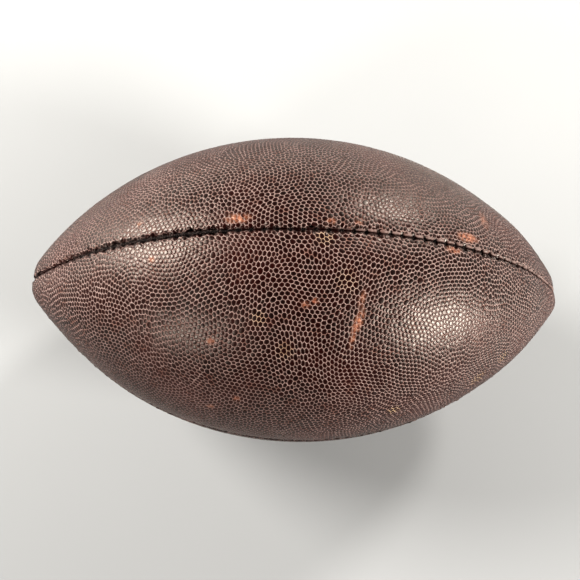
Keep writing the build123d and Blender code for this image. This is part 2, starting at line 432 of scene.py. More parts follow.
def panel_point(u, phi, height, panel):
    """A point of one panel: phi is the angle from the panel's first seam, and height is along the
    leather's own normal. Near a seam the leather rolls over a shoulder and down into the groove."""
    x, r, lean = meridian(u)
    far = phi > QUARTER / 2
    own = np.where(far, QUARTER - phi, phi)
    s = r * own
    first, second = panel, (panel + 1) % 4
    wave = np.where(far, stitch_wave(u, second), stitch_wave(u, first))
    gape = np.where(far, groove_gap(u, second), groove_gap(u, first))

    # The roll: how far the leather has turned over, and where that takes it
    bend = SHOULDER + gape
    turn = np.clip((bend - s) / SHOULDER, 0, None)
    turned = np.minimum(turn, QUARTER)
    scale = r * np.sin(np.minimum(bend / r, QUARTER / 2)) / bend
    rolled = (SHOULDER * (1 - np.sin(turned)) + gape) * scale
    across = np.where(turn > 0, rolled, r * np.sin(own))
    depth = SHOULDER * (1 - np.cos(turned)) + np.maximum(turn - QUARTER, 0) * SHOULDER

    # The dips and puffs
    beside = swell(np.maximum(s - bend, 0), 0.0, SEAM_DIP_WIDTH)
    near = swell(np.maximum(s - PULL_FROM, 0), 0.0, PULL_WIDTH)
    depth = depth + SEAM_DIP * beside * np.clip(r / 30.0, 0.2, 1.0)
    depth = depth + (PULL_DOWN * wave - PUFF_UP) * near
    across = np.maximum(across + (PULL_IN * wave - PUFF_OUT) * near * np.sin(turned), HALF_GAP)
    across = np.minimum(across, r * math.sin(QUARTER / 2))
    pole = MERIDIAN - np.abs(u)
    depth = depth + TIP_DIP * np.clip((TIP_DIP_WIDTH - pole) / TIP_DIP_WIDTH, 0, 1) ** 2
    depth = depth + pinch(u) * (1 + np.cos(4 * np.clip(phi, 0, QUARTER))) / 2
    if BACK in (first, second):
        laced = far if second == BACK else ~far
        slot = np.hypot((u - nearest_cross(u)) / SLOT_LENGTH, (s - LACE_ROW) / SLOT_WIDTH)
        depth = depth + SLOT_DIP * np.exp(-(slot**2)) * laced
    if panel == VALVE_PANEL:
        inside = (VALVE_DIP_RADIUS - from_valve(u, phi)) / (VALVE_DIP_RADIUS - VALVE_HOLE)
        depth = depth + VALVE_DIP * np.clip(inside, 0, 1) ** 2

    # In the section's plane, pa points out along the seam's plane and ps away from it. A height
    # fades as the leather turns over, unless it is one of more than 1 mm inwards
    lift = np.where(height < -1, height, height * np.cos(turned))
    eff = np.arcsin(np.clip(across / r, 0, 0.70711))
    along = np.cos(eff)
    normal_along = np.cos(lean) * along * np.cos(turned)
    normal_side = np.cos(lean) * np.sin(eff) * np.cos(turned) - np.sin(turned)
    px = x + lift * np.sin(lean) * np.cos(turned) - depth * np.sin(lean)
    pa = r * along + lift * normal_along - depth * np.cos(lean) * along
    ps = r * np.sin(eff) + lift * normal_side - depth * np.cos(lean) * np.sin(eff)
    ps = np.maximum(ps, HALF_GAP)
    start, aside = panel * QUARTER, np.arctan2(ps, pa)
    return around(px, np.hypot(pa, ps), np.where(far, start + QUARTER - aside, start + aside))


# ---------------- grain


CHART_END = MERIDIAN - 1.2
CHART_U = np.linspace(-CHART_END, CHART_END, 4001)
CHART_STEPS = np.diff(CHART_U) / meridian((CHART_U[1:] + CHART_U[:-1]) / 2)[1]
CHART = np.concatenate([[0.0], np.cumsum(CHART_STEPS)])
CHART -= np.interp(0.0, CHART_U, CHART)


def chart(u):
    """Arc length to the coordinate in which, with the angle, the surface keeps its angles."""
    return np.interp(u, CHART_U, CHART)


def unchart(c):
    """The arc length that chart gives a coordinate for."""
    return np.interp(c, CHART, CHART_U)


def edge_reach(u):
    """How far the grain runs past a panel's edge into the seam, which is less near the tips."""
    fade = np.clip((MERIDIAN - np.abs(u) - 10.0) / 20.0, 0, 1)
    return TIP_EDGE_REACH + (EDGE_REACH - TIP_EDGE_REACH) * fade


def grain_seeds(rng):
    """The centres of one panel's pebbles, in curving rows, as (arc length, angle)."""
    end = MERIDIAN - GRAIN_TIP
    half = BALL_RADIUS * QUARTER / 2 + EDGE_REACH
    spare = 12
    columns = np.arange(-end - spare, end + spare, COLUMN)
    rows = np.arange(-half - spare, half + spare, PEBBLE)
    u, s = np.meshgrid(columns, rows, indexing="ij")
    s = s + PEBBLE / 2 * (np.arange(len(columns)) % 2)[:, None]
    u, s = (axis.ravel() + rng.normal(0, JITTER, axis.size) for axis in (u, s))
    # Shears keep the pebbles' size while they bend the rows
    for length, amount in ROW_BENDS:
        a, b = rng.uniform(0, 2 * math.pi, 2)
        u = u + amount * np.sin(2 * math.pi * s / length + a)
        s = s + amount * np.sin(2 * math.pi * u / length + b)
    r = meridian(u)[1]
    keep = (np.abs(u) < end) & (np.abs(s) < r * QUARTER / 2 + edge_reach(u))
    return np.stack([u, s / r + QUARTER / 2], axis=1)[keep]


def doubled_area(a, b, c):
    """Twice the area of triangles in the plane, positive where their corners go anticlockwise."""
    return (b[:, 0] - a[:, 0]) * (c[:, 1] - a[:, 1]) - (b[:, 1] - a[:, 1]) * (c[:, 0] - a[:, 0])


def triangulate(points):
    """Delaunay triangles of points in the plane, anticlockwise, and twice the area of each."""
    _, _, faces, _, _, _ = delaunay_2d_cdt([Vector(p) for p in points], [], [], 0, 1e-9, False)
    tris = np.array(faces, int)
    turn = doubled_area(*(points[tris[:, k]] for k in range(3)))
    flip = turn < 0
    tris[flip] = tris[flip][:, [0, 2, 1]]
    area = np.abs(turn)
    real = area > 1e-12
    return tris[real], area[real]


def open_edges(edges, count):
    """The edges, as pairs of indices below count, that only one face has."""
    keys, times = np.unique(np.sort(edges, 1) @ np.array([count, 1]), return_counts=True)
    keys = keys[times == 1]
    return np.stack([keys // count, keys % count], 1)


def evened(plane, free):
    """The pebbles' centres, the free ones moved towards the middle of the triangles round them."""
    tris, area = triangulate(plane)
    middle = plane[tris].mean(1)
    total, weight = np.zeros_like(plane), np.zeros(len(plane))
    for k in range(3):
        np.add.at(total, tris[:, k], middle * area[:, None])
        np.add.at(weight, tris[:, k], area)
    moved = total / np.maximum(weight, 1e-12)[:, None]
    plane[free] = plane[free] + EVENED * (moved[free] - plane[free])
    return plane


def grain_cells(rng):
    """One panel's pebbles: their centres and corners on the chart, and each cell's corners."""
    seeds = grain_seeds(rng)
    plane = np.stack([chart(seeds[:, 0]), seeds[:, 1]], axis=1)
    r = meridian(seeds[:, 0])[1]
    s = seeds[:, 1] * r
    past = edge_reach(seeds[:, 0]) + 1.0
    rim = np.minimum(s + past, r * QUARTER + past - s)
    rim = np.minimum(rim, MERIDIAN - GRAIN_TIP - np.abs(seeds[:, 0]))
    free = rim > 1.2 * PEBBLE
    for _ in range(EVENINGS):
        plane = evened(plane, free)
    tris, _ = triangulate(plane)
    scale = meridian(unchart(plane[:, 0]))[1][tris].mean(1)
    spans = [
        np.hypot(*(plane[tris[:, k]] - plane[tris[:, (k + 1) % 3]]).T) * scale for k in range(3)
    ]
    tris = tris[np.max(spans, axis=0) < 2.4 * PEBBLE]
    corners = plane[tris].mean(1)

    # A cell's corners are the middles of the triangles round its centre, in order of bearing
    centre = np.repeat(np.arange(len(tris)), 3)
    vertex = tris.reshape(-1)
    bearing = np.arctan2(*(corners[centre] - plane[vertex]).T[::-1])
    order = np.lexsort((bearing, vertex))
    vertex, centre = vertex[order], centre[order]
    starts = np.flatnonzero(np.diff(np.concatenate([[-1], vertex])))
    ends = np.append(starts[1:], len(vertex))
    edges = np.concatenate([tris[:, [0, 1]], tris[:, [1, 2]], tris[:, [2, 0]]])
    is_open = np.zeros(len(plane), bool)
    is_open[open_edges(edges, len(plane))] = True
    cells = [
        (int(vertex[a]), centre[a:b])
        for a, b in zip(starts, ends)
        if not is_open[vertex[a]] and b - a > 2
    ]
    return plane, corners, cells


def open_valve(plane, corners, cells):
    """Leaves out the cells over the valve's hole, and moves the corners round it onto its rim."""
    valve = np.array([0.0, VALVE_THETA - VALVE_PANEL * QUARTER])
    spread = (corners - valve) * BALL_RADIUS
    away = np.hypot(*spread.T)
    cells = [
        (vertex, ring)
        for vertex, ring in cells
        if np.hypot(*((plane[vertex] - valve) * BALL_RADIUS)) > VALVE_HOLE + 0.3
    ]
    edges = np.concatenate([np.stack([ring, np.roll(ring, -1)], 1) for _, ring in cells])
    rim = np.unique(open_edges(edges, len(corners)))
    rim = rim[away[rim] < 9]
    corners[rim] = valve + spread[rim] / away[rim][:, None] * VALVE_HOLE / BALL_RADIUS
    return cells


def mark(u, theta, u0, theta0, length, width, turn):
    """How much of a worn mark reaches each point: 1 at its middle, 0 outside."""
    r = meridian(u0)[1]
    a, b = u - u0, r * (theta - theta0)
    along = a * math.cos(turn) + b * math.sin(turn)
    aside = -a * math.sin(turn) + b * math.cos(turn)
    return np.clip(1.4 - np.hypot(along / length, aside / width) * 1.2, 0, 1)


# Worn rust-coloured marks: arc length, degrees from the front seam, half length, half width, turn,
# strength
SCUFFS = (
    (-34.0, 93.8, 6.0, 2.3, 0, 1.0),
    (19.2, 61.4, 7.0, 2.1, 72, 0.9),
    (17.3, 56.0, 4.5, 1.3, 80, 0.6),
    (20.5, 68.5, 5.0, 1.4, 80, 0.6),
    (-3.8, 66.6, 2.0, 1.7, 0, 1.0),
    (-0.1, 67.8, 1.6, 1.7, 0, 1.0),
    (76.5, 94.6, 7.0, 2.6, 3, 1.0),
    (67.0, 87.8, 4.6, 2.0, 0, 0.9),
    (90.5, 108.5, 3.4, 6.0, 0, 0.4),
    (7.0, 92.8, 2.2, 1.5, 0, 0.8),
    (19.5, 92.8, 2.2, 1.2, 0, 0.5),
    (-73.8, 81.2, 2.0, 1.6, 0, 0.7),
    (-82.2, 97.6, 1.8, 1.4, 0, 0.5),
    (-44.8, 53.3, 2.0, 1.8, 0, 0.8),
    (-32.8, 31.9, 1.9, 1.8, 0, 0.6),
    (-45.2, 24.6, 1.9, 1.8, 0, 0.6),
    (40.0, 205.0, 4.0, 1.6, 20, 0.7),
    (-60.0, 150.0, 3.0, 1.4, -30, 0.6),
    (-20.0, 250.0, 5.0, 2.0, 60, 0.7),
    (95.0, 300.0, 3.0, 1.5, 10, 0.7),
)

# Pale spots in the grooves: arc length, degrees from the front seam, radius, strength
PALE_SPOTS = (
    (4.2, 87.5, 4.5, 0.6),
    (-24.0, 62.0, 4.0, 0.5),
    (-12.0, 52.0, 5.0, 0.4),
    (14.0, 74.0, 6.0, 0.3),
    (42.7, 24.1, 3.4, 1.0),
    (92.2, 25.3, 5.0, 0.8),
    (107.7, 33.1, 4.0, 0.6),
    (-60.0, 165.0, 6.0, 0.4),
    (30.0, 160.0, 6.0, 0.4),
    (-70.0, 215.0, 6.0, 0.4),
    (60.0, 290.0, 6.0, 0.4),
)


def paint(mesh, u, theta, valley, tone):
    """Gives a leather mesh what its material reads: the groove's depth with painted shade, a tone,
    and the marks.
    """
    scuff, pale = np.zeros(len(u)), np.zeros(len(u))
    for u0, degrees, length, width, turn, strength in SCUFFS:
        amount = mark(u, theta, u0, math.radians(degrees), length, width, math.radians(turn))
        scuff = np.maximum(scuff, strength * amount)
    for u0, degrees, size, strength in PALE_SPOTS:
        amount = mark(u, theta, u0, math.radians(degrees), size, size, 0.0)
        pale = np.maximum(pale, 0.65 * strength * amount)
    for key, values in (("valley", valley), ("tone", tone), ("scuff", scuff), ("pale", pale)):
        attribute = mesh.attributes.new(key, "FLOAT", "POINT")
        attribute.data.foreach_set("value", values.astype(np.float32))


def flesh_side(links, rim_points, first, panel):
    """The inner face of one panel, joined to the outer one along its edges and the valve's hole."""
    edges = open_edges(links, len(rim_points))
    rim = np.unique(edges)
    local = np.full(len(rim_points), -1)
    local[rim] = np.arange(len(rim))
    end = MERIDIAN - FLESH_TIP
    half = BALL_RADIUS * QUARTER / 2 + EDGE_REACH
    axes = np.arange(-end, end, FLESH_STEP), np.arange(-half, half, FLESH_STEP)
    u, s = (axis.ravel() for axis in np.meshgrid(*axes))
    r = meridian(u)[1]
    phi = s / r + QUARTER / 2
    keep = np.abs(s) < r * QUARTER / 2 + edge_reach(u) - FLESH_MARGIN
    if panel == VALVE_PANEL:
        keep &= from_valve(u, phi) > VALVE_HOLE + FLESH_VALVE
    u, phi = u[keep], phi[keep]
    inner = np.stack([chart(u), phi], axis=1)
    points = np.concatenate([rim_points[rim], inner])
    made, _, tris, origin, _, _ = delaunay_2d_cdt(
        [Vector(p) for p in points], local[edges].tolist(), [], 1, 1e-9, True
    )
    number = np.concatenate([rim, first + np.arange(len(inner))])
    tris = np.array(tris)
    a, b, c = np.array([tuple(v) for v in made])[tris].transpose(1, 0, 2)
    turn = doubled_area(a, b, c)
    # Kept where a line from the triangle's middle crosses the panel's rim an odd number of times
    middle = (a + b + c)[:, None] / 3
    start, finish = rim_points[edges[:, 0]], rim_points[edges[:, 1]]
    crosses = (start[:, 1] > middle[..., 1]) != (finish[:, 1] > middle[..., 1])
    rise = np.where(finish[:, 1] == start[:, 1], 1.0, finish[:, 1] - start[:, 1])
    met = start[:, 0] + (middle[..., 1] - start[:, 1]) * (finish[:, 0] - start[:, 0]) / rise
    inside = (crosses & (middle[..., 0] < met)).sum(1) % 2 == 1
    ids = number[[origin[v][0] for v in range(len(made))]]
    tris = np.where((turn > 0)[:, None], tris[:, ::-1], tris)[inside]
    return panel_point(u, phi, np.full(len(u), -LEATHER), panel), ids[tris].tolist()


def lay_out(mesh, u, phi, hidden):
    """A leather mesh's UV map: the grain in nearly true proportions, and the hidden points, which
    come last, in a corner."""
    r = meridian(u)[1]
    span = BALL_RADIUS * QUARTER + 2 * EDGE_REACH
    along = 0.01 + 0.98 * (u + MERIDIAN) / (2 * MERIDIAN)
    across = 0.5 + (phi - QUARTER / 2) * r / span * 0.98
    uv = np.concatenate([np.stack([along, across], axis=1), np.full((hidden, 2), 0.004)])
    loops = np.zeros(len(mesh.loops), int)
    mesh.loops.foreach_get("vertex_index", loops)
    layer = mesh.uv_layers.new(name="OFBake")
    layer.data.foreach_set("uv", uv[loops].astype(np.float32).ravel())


def grain_mesh(panel, name):
    """One panel's leather, each pebble a small dome inside a groove that it shares with its
    neighbours: corners in the groove, a ring at the pebble's brow, and one round its flat top."""
    rng = np.random.default_rng(GRAIN_SEEDS[panel])
    plane, corners, cells = grain_cells(rng)
    if panel == VALVE_PANEL:
        cells = open_valve(plane, corners, cells)
    rings = np.concatenate([ring for _, ring in cells])
    used = np.unique(rings)
    corner_index = np.full(len(corners), -1)
    corner_index[used] = np.arange(len(used))
    ring0 = corners[used]
    sizes = np.array([len(ring) for _, ring in cells])
    owner = np.repeat(np.arange(len(cells)), sizes)
    centres = plane[[vertex for vertex, _ in cells]]
    ring_points = corners[rings]
    middles = np.zeros((len(cells), 2))
    np.add.at(middles, owner, ring_points)
    middles /= sizes[:, None]
    middles = 0.5 * middles + 0.5 * centres
    scale = meridian(unchart(middles[:, 0]))[1]
    out = ring_points - middles[owner]
    reach = np.hypot(*out.T) * scale[owner]
    size = np.bincount(owner, reach) / sizes
    rounded = np.minimum(reach, 1.1 * size[owner])
    groove = GROOVE * rng.uniform(0.85, 1.2, len(cells))[owner]
    share = np.clip((rounded - groove) / reach, BROW_LEAST, BROW_MOST)
    ring1 = middles[owner] + out * share[:, None]
    share = share * TOP_SHARE * np.minimum(1, size[owner] / reach)
    ring2 = middles[owner] + out * share[:, None]
    flat = np.concatenate([ring0, ring1, ring2])

    s_cell = np.minimum(centres[:, 1], QUARTER - centres[:, 1]) * scale
    level = rng.normal(0, UNEVEN, len(cells)) + 0.04 * (size / 1.2 - 1)
    level += rng.normal(0, UNEVEN_AT_SEAM, len(cells)) * swell(s_cell, 0.0, SEAM_WIDTH)
    lean_u, lean_s = (rng.normal(0, UNEVEN_LEAN, len(cells)) for _ in range(2))
    tilt = (out[:, 0] * lean_u[owner] + out[:, 1] * lean_s[owner]) * scale[owner]
    bottom = -GROOVE_DEPTH + 0.03 * rng.normal(size=len(ring0))
    height = np.concatenate([bottom, level[owner] - BROW_DROP + tilt, level[owner] + tilt * 0.6])
    u = unchart(flat[:, 0])
    points = panel_point(u, flat[:, 1], height, panel)

    n0, n1 = len(ring0), len(rings)
    a = corner_index[rings]
    start = np.repeat(np.concatenate([[0], np.cumsum(sizes)[:-1]]), sizes)
    place = np.arange(n1)
    following = start + (place - start + 1) % sizes[owner]
    slopes = np.stack([a, a[following], n0 + following, n0 + place], axis=1)
    brows = np.stack([n0 + place, n0 + following, n0 + n1 + following, n0 + n1 + place], axis=1)
    firsts = np.concatenate([[0], np.cumsum(sizes)])
    tops = [list(range(n0 + n1 + a, n0 + n1 + b)) for a, b in zip(firsts[:-1], firsts[1:])]
    under, under_faces = flesh_side(slopes[:, :2], ring0, n0 + 2 * n1, panel)
    faces = slopes.tolist() + brows.tolist() + tops + under_faces
    mesh = joined([(np.concatenate([points, under]), faces)], name)

    aside = np.minimum(ring0[:, 1], QUARTER - ring0[:, 1]) * meridian(u[:n0])[1]
    first, second = (groove_gap(u[:n0], seam % 4) for seam in (panel, panel + 1))
    gape = np.where(ring0[:, 1] > QUARTER / 2, second, first)
    # Painted shade: the grooves beside a gaping seam, and the corners on the panel's rim, are
    # darkened
    painted_seam_shade = swell(aside, 0.0, PAINTED_SEAM_SHADE_WIDTH) * np.clip((gape - 0.2) / 0.5, 0, 1)
    sharing = np.bincount(corner_index[rings], minlength=n0)
    groove = np.where(sharing < 3, SHADED_RIM_AND_HIDDEN_VALLEY, 1 - PAINTED_SEAM_SHADE * painted_seam_shade)
    hidden = np.full(len(under), SHADED_RIM_AND_HIDDEN_VALLEY)
    valley = np.concatenate([groove, np.full(n1, BROW_VALLEY), np.zeros(n1), hidden])
    tone = rng.random(len(cells))[owner]
    tone = np.concatenate([np.full(n0, 0.5), tone, tone, np.full(len(under), 0.5)])
    # The hidden points get an angle where there are no marks
    u_all = np.concatenate([u, np.zeros(len(under))])
    theta = panel * QUARTER + np.concatenate([flat[:, 1], np.full(len(under), -9.0)])
    paint(mesh, u_all, theta, valley, tone)
    lay_out(mesh, u, flat[:, 1], len(under))
    return mesh


# ---------------- thread, lace, edges and linings


def ring_faces(rings, sides):
    """The quads between rings of points, and a cap at each end."""
    i, j = np.meshgrid(np.arange(rings - 1), np.arange(sides), indexing="ij")
    k = (j + 1) % sides
    quads = [i * sides + j, i * sides + k, (i + 1) * sides + k, (i + 1) * sides + j]
    faces = np.stack(quads, -1).reshape(-1, 4).tolist()
    return faces + [list(range(sides))[::-1], [(rings - 1) * sides + q for q in range(sides)]]


def tube(path, radius, sides, plied=False, ragged=0.0):
    """Vertices and faces of a tube along a path in mm, round or with a plied cord's turning lobes;
    ragged is how much each point's radius differs from the rest."""
    step = np.gradient(path, axis=0)
    step /= np.linalg.norm(step, axis=1)[:, None]
    across = np.zeros_like(path)
    guide = np.cross(step[0], (0.3, 0.5, 0.8))
    for i, direction in enumerate(step):
        guide = guide - direction * (guide @ direction)
        guide /= np.linalg.norm(guide)
        across[i] = guide
    beside = np.cross(step, across)
    run = np.concatenate([[0], np.cumsum(np.linalg.norm(np.diff(path, axis=0), axis=1))])
    angle = np.linspace(0, 2 * math.pi, sides, endpoint=False)[None]
    size = np.broadcast_to(np.asarray(radius, float).reshape(-1, 1), (len(path), sides))
    if plied:
        lobes = np.cos(PLIES * (angle - 2 * math.pi * run[:, None] / PLY_TURN))
        size = size * (1 + PLY_DEPTH * lobes)
    size = size * (1 + ragged)
    points = path[:, None] + size[..., None] * (
        np.cos(angle)[..., None] * across[:, None] + np.sin(angle)[..., None] * beside[:, None]
    )
    return points.reshape(-1, 3), ring_faces(len(path), sides)


def joined(parts, name):
    """One mesh from several lots of vertices, in mm, and faces."""
    points, faces, count = [], [], 0
    for some, of_them in parts:
        faces += [[count + v for v in face] for face in of_them]
        points.append(some)
        count += len(some)
    mesh = bpy.data.meshes.new(name)
    mesh.from_pydata((np.concatenate(points) * MM).tolist(), [], faces)
    mesh.polygons.foreach_set("use_smooth", np.ones(len(mesh.polygons), bool))
    return mesh


def seam_points(u, seam, inset, aside=0.0):
    """Points at an inset below a seam's line, aside mm from its plane on the next seam's side."""
    x, r, lean = meridian(u)
    inset, aside = np.broadcast_arrays(inset + pinch(u), aside)
    reach = r - inset * np.cos(lean)
    theta = seam * QUARTER + np.arctan2(aside, reach)
    return around(x - inset * np.sin(lean), np.hypot(reach, aside), theta)


def tip_knot(end):
    """The wound end of the thread, a small button that closes one tip where the panels meet."""
    turn = np.linspace(0, 6 * math.pi, 120)
    out = 0.35 + 2.2 * turn / turn[-1]
    return tube(surface_point(end * (MERIDIAN - out), turn, -1.0 - 0.12 * out), 0.44, 8, True)


def seam_thread(seam, first, last, rng, name):
    """The stitching of a length of seam: a plied cord deep in the groove, a pair of strands over
    each notch, and the two rails and the bars behind the turned-in edges."""
    u = np.arange(first, last, CORD_STEP)
    lift = np.clip((groove_gap(u, seam) - 0.25) / 0.38, 0, 1)
    rough = 0.06 * np.sin(u * 2.1) + rng.normal(0, 0.10, len(u)) * (0.3 + lift)
    inset = CORD_DEPTH - CORD_LIFT * lift + 0.12 * np.sin(2 * math.pi * u / STITCH)
    inset = inset + 0.1 * np.sin(u / 3.1 + seam)
    ragged = rng.normal(0, 0.15, (len(u), CORD_SIDES)) * lift[:, None]
    radius = CORD_RADIUS + CORD_SWELL * lift + rough
    parts = [tube(seam_points(u, seam, inset), radius, CORD_SIDES, True, ragged)]
    phase = STITCH_PHASE[seam]
    numbers = np.arange(math.ceil((first - phase) / STITCH), (last - phase) / STITCH)
    for at in phase + STITCH * numbers:
        wide = groove_gap(at, seam)
        for side in (-1, 1):
            slant = rng.normal(0, 0.2)
            depth = STRAND_DEPTH + rng.normal(0, 0.07, 9)
            place = at + side * STRAND_APART + slant * STRAND_ACROSS / 2 + rng.normal(0, 0.05, 9)
            across = STRAND_ACROSS + np.sign(STRAND_ACROSS) * wide * 0.8
            line = seam_points(place, seam, depth, across)
            parts.append(tube(line, STRAND_RADIUS + rng.normal(0, 0.02), 8))
        across = np.linspace(-RAIL_ASIDE, RAIL_ASIDE, 5)
        parts.append(tube(seam_points(np.full(5, at), seam, RAIL_DEPTH, across), BAR_RADIUS, 6))
    for side in (-RAIL_ASIDE, RAIL_ASIDE):
        rail = seam_points(np.arange(first, last, 2.0), seam, RAIL_DEPTH, side)
        parts.append(tube(rail, RAIL_RADIUS, 6))
    if seam == TOP:
        parts += [tip_knot(end) for end in (-1, 1)]
    return joined(parts, name)


def spline(knots, steps):
    """Points along a smooth curve through the knots."""
    knots = np.asarray(knots, float)
    ends = np.concatenate([[2 * knots[0] - knots[1]], knots, [2 * knots[-1] - knots[-2]]])
    out = []
    for i in range(len(knots) - 1):
        a, b, c, d = ends[i : i + 4]
        bend, twist = 2 * a - 5 * b + 4 * c - d, 3 * b - a - 3 * c + d
        for t in np.arange(steps) / steps:
            out.append(0.5 * (2 * b + (c - a) * t + bend * t**2 + twist * t**3))
    return np.array(out + [knots[-1]])


def strap(path, widthways, width, thickness, shrink=None):
    """A flat strap with rounded edges along a path, its width along one direction."""
    along = np.gradient(path, axis=0)
    along /= np.linalg.norm(along, axis=1)[:, None]
    wide = widthways - along * (widthways * along).sum(1)[:, None]
    wide /= np.linalg.norm(wide, axis=1)[:, None]
    thick = np.cross(along, wide)
    angle = np.linspace(0, 2 * math.pi, 20, endpoint=False)
    cos, sin = np.cos(angle), np.sin(angle)
    ring_w = width / 2 * np.sign(cos) * np.abs(cos) ** 0.45
    ring_t = thickness / 2 * np.sign(sin) * np.abs(sin) ** 0.6
    size = np.ones(len(path)) if shrink is None else shrink
    points = path[:, None] + size[:, None, None] * (
        ring_w[None, :, None] * wide[:, None] + ring_t[None, :, None] * thick[:, None]
    )
    return points.reshape(-1, 3), ring_faces(len(path), len(angle))


def on_back(u, z, height):
    """A point over the laced seam, z mm above it."""
    r = meridian(u)[1]
    return surface_point(u, math.pi - np.arcsin(z / r), height)


def lacing(rng):
    """The lace: a strand along the seam, crosses over it through the slots, and runs inside."""
    stations = np.linspace(-LACE_LAST, LACE_LAST, LACE_CROSSES)
    knots = [*CROSS_SIDE, CROSS_TOP, *((-z, height) for z, height in CROSS_SIDE[::-1])]
    parts = []
    for x in stations:
        curve = spline(knots, 6)
        drift = rng.normal(0, 0.25) + rng.normal(0, 0.03) * curve[:, 0]
        path = on_back(x + drift, curve[:, 0], curve[:, 1])
        parts.append(strap(path, (1, 0, 0), CROSS_WIDTH, LACE_THICKNESS))
    u = np.linspace(-LACE_LAST - 2.2, LACE_LAST + 2.2, 120)
    near = np.abs(u - nearest_cross(u))
    path = on_back(u, 0.25 * np.sin(u / 7.0), 0.78 + 0.16 * np.clip((near - 3.0) / 3.0, 0, 1))
    end = np.clip((LACE_LAST + 2.6 - np.abs(u)) / 1.2, 0.35, 1.0)
    parts.append(strap(path, (0, 0, 1), ALONG_WIDTH, LACE_THICKNESS, end))
    for i in range(LACE_CROSSES - 1):
        side = 1 if i % 2 else -1
        u = np.linspace(stations[i] - 1.5, stations[i + 1] + 1.5, 9)
        parts.append(strap(on_back(u, side * 11.4, -4.9), (0, 0, 1), RUN_WIDTH, RUN_THICKNESS))
    return joined(parts, "lace")


def sheet_faces(rows, across):
    """The faces of a closed sheet: two grids of points, the second under the first, and a rim."""
    i, j = np.meshgrid(np.arange(rows - 1), np.arange(across - 1), indexing="ij")
    a = (i * across + j).ravel()
    outer = np.stack([a, a + 1, a + across + 1, a + across], 1)
    rim = np.concatenate(
        [
            np.arange(across),
            across * np.arange(1, rows) + across - 1,
            rows * across - 1 - np.arange(1, across),
            across * np.arange(rows - 2, 0, -1),
        ]
    )
    under, following = rows * across, np.roll(rim, -1)
    walls = np.stack([rim, rim + under, following + under, following], 1)
    return np.concatenate([outer, outer[:, ::-1] + under, walls])


def edge_mesh(panel, name):
    """The rolled edges of one panel, smooth where the leather is stretched, and nicked by each
    stitch: narrow at the front and top seams, but for a bare stretch of upper_back's. Their colour
    carries painted shade, darker towards the groove and in each nick, darker again along the front
    and top seams but for that bare stretch, and darkest along the front seam."""
    parts, marks = [], []
    stations = np.arange(-MERIDIAN + EDGE_TIP, MERIDIAN - EDGE_TIP, EDGE_STEP)
    u, s = (grid.ravel() for grid in np.meshgrid(stations, EDGE_ROWS, indexing="ij"))
    faces = sheet_faces(len(stations), len(EDGE_ROWS))
    r = meridian(u)[1]
    bare = np.clip((u + 2.0) / 26.0, 0, 1) if panel == UPPER_BACK else 0.0
    for far in (False, True):
        seam = (panel + far) % 4
        plain = seam in (FRONT, TOP)
        wander = 0.18 * np.sin(u * 1.9 + seam) + 0.14 * np.sin(u * 0.83 + panel)
        widest = EDGE_NARROW + EDGE_BARE * bare if plain else EDGE_WIDE
        spread = 0.1 + (s - 0.1) * (widest - 0.1) / 2.0 + wander * s / 2.1
        reach = np.where(s > 0.1, spread, s)
        phi = QUARTER - reach / r if far else reach / r

        off = np.mod(u - STITCH_PHASE[seam] + 0.3 * s + STITCH / 2, STITCH) - STITCH / 2
        notch = 0.45 + 0.40 * np.clip((1.8 - s) / 1.8, 0, 1)
        nick = np.exp(-((off / notch) ** 4)) * stitched(u, seam) * np.clip((2.5 - s) / 1.0, 0, 1)
        part = 2 * np.abs(off) / STITCH
        bulge = np.sin(math.pi * np.clip((s + 0.6) / 2.6, 0, 1))
        puff = (0.12 + 0.26 * part * (2 - part)) * bulge - 0.04
        rim = np.clip((s - 1.5) / 0.6, 0, 1) ** 2
        crease = 0.06 * np.sin(u * 3.3 + 2.0 * np.sin(u * 0.7 + seam)) + 0.04 * np.sin(u * 7.0)
        rise = (puff + crease - NICK_DEPTH * nick) * (1 - rim) - 0.42 * rim
        top = panel_point(u, phi, np.maximum(rise, EDGE_LOWEST), panel)
        base = panel_point(u, phi, np.full(len(s), EDGE_UNDER), panel)
        parts.append((np.concatenate([top, base]), (faces if far else faces[:, ::-1]).tolist()))

        # Painted shade on a mid-brown strip: darker towards the groove and in each nick, and darker
        # along the front and top seams
        shaded_valley = (0.46 - 0.25 * np.clip((0.8 - s) / 1.5, 0, 1)) * (1 - 0.8 * nick)
        shaded_valley = shaded_valley * (0.45 + 0.55 * bare) if plain else shaded_valley
        shaded_valley = shaded_valley * 0.5 if seam == FRONT else shaded_valley
        marks.append(np.tile(np.stack([u, phi, shaded_valley]), 2))
    mesh = joined(parts, name)
    u, phi, shaded_valley = np.concatenate(marks, axis=1)
    paint(mesh, u, panel * QUARTER + phi, shaded_valley, np.full(len(u), 0.7))
    return mesh


def lining_mesh(panel, name):
    """The canvas glued inside one panel, short of its seams, as a closed sheet."""
    end = MERIDIAN - LINING_TIP
    u = np.linspace(-end, end, LINING_ROWS)[:, None]
    margin = LINING_MARGIN / meridian(u)[1]
    phi = margin + (QUARTER - 2 * margin) * np.linspace(0, 1, LINING_COLUMNS)[None]
    u, phi = np.broadcast_to(u, phi.shape).ravel(), phi.ravel()
    layers = [
        panel_point(u, phi, np.full(u.size, -(LEATHER + inside)), panel)
        for inside in LINING_FACES
    ]
    # Turned over, without a change to how each quad splits
    faces = sheet_faces(LINING_ROWS, LINING_COLUMNS)[:, [0, 3, 2, 1]]
    return joined([(np.concatenate(layers), faces.tolist())], name)


# ---------------- the pieces


def piece(mesh, name, slot, material, *nodes):
    """A visible piece, which takes the place of the CAD nodes named, if any."""
    obj = bpy.data.objects.new(name, mesh)
    scene.collection.objects.link(obj)
    mesh.materials.append(material)
    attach(obj, "root")
    if nodes:
        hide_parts(*nodes)


leather = leather_material()
thread = thread_material()
for index, label in enumerate(PANELS):
    mesh = grain_mesh(index, "leather_" + label)
    piece(mesh, "leather_" + label, "leather", leather, "panel_" + label)
    piece(edge_mesh(index, "edge_" + label), "edge_" + label, "leather", leather)

